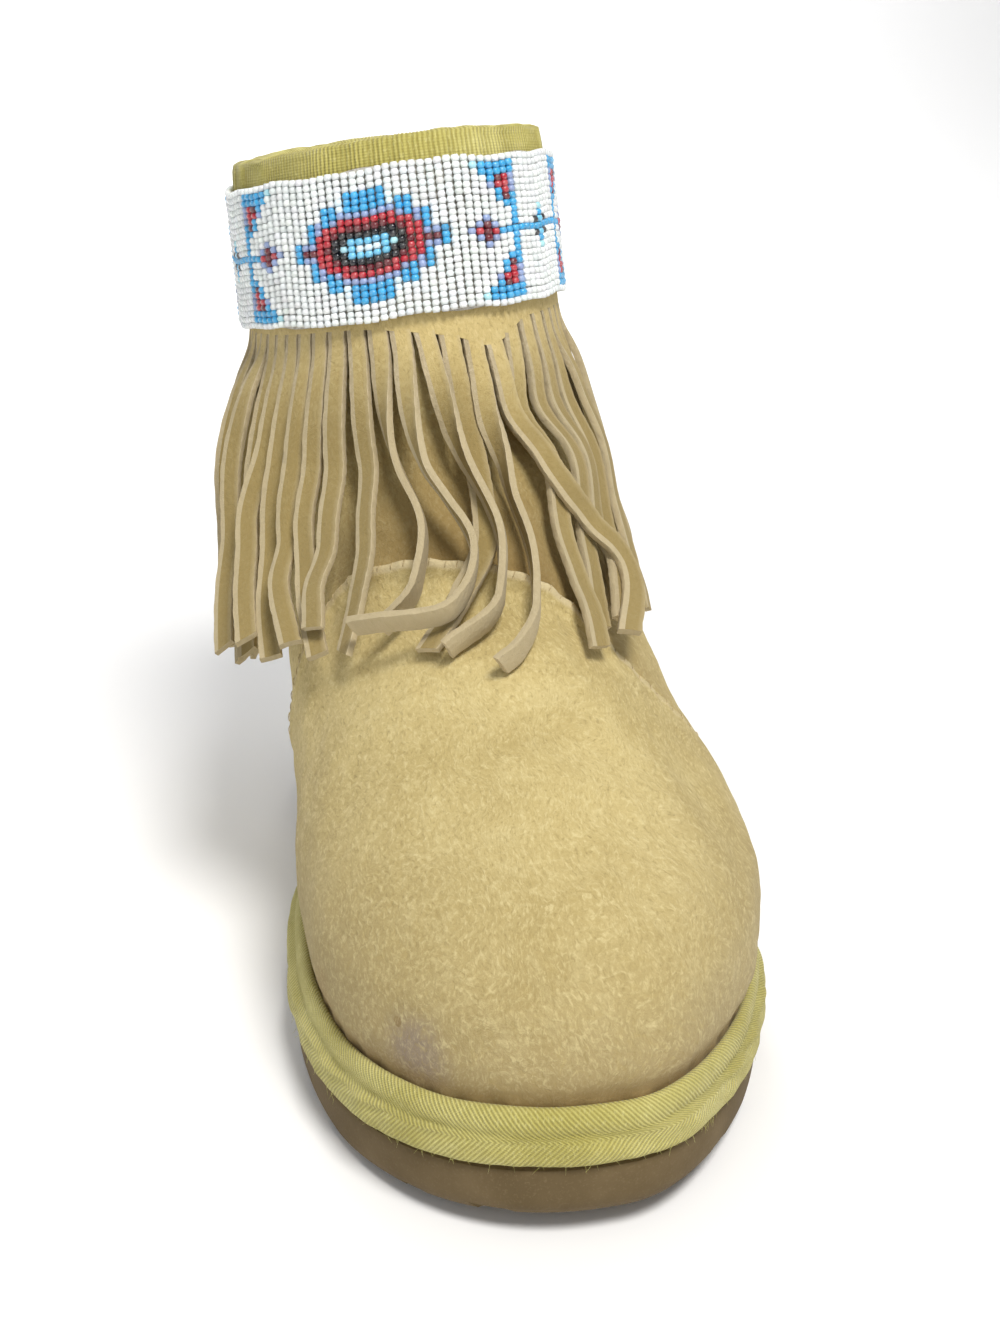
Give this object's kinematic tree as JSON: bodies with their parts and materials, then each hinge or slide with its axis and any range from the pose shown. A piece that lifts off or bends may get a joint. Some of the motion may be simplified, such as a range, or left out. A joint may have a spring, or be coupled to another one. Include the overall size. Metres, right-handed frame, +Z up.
{
  "type": "mukluk boot",
  "caption": "Left ankle boot of suede sheepskin on a foam sole, with woven bindings, a beaded band and a hanging suede fringe.",
  "frame": {"origin": "middle of the bounding box at the floor, under the standing sole", "axes": "+Z up; the toe points along -Y; the outer side of the foot is at +X"},
  "size_m": [0.118, 0.2678, 0.2037],
  "materials": {
    "sole_foam": "matte brown foam rubber",
    "suede": "brushed tan suede",
    "wool_felt": "cream wool pile",
    "woven_tape": "yellow-green twill tape",
    "glass_beads": "opaque cream, blue, red and black seed beads"
  },
  "bodies": {
    "root": {"outsole": "sole_foam", "upper": "suede", "insole": "wool_felt", "sole_binding": "woven_tape", "collar_binding": "woven_tape", "bead_band": "glass_beads", "fringe": "suede"}
  },
  "joints": []
}
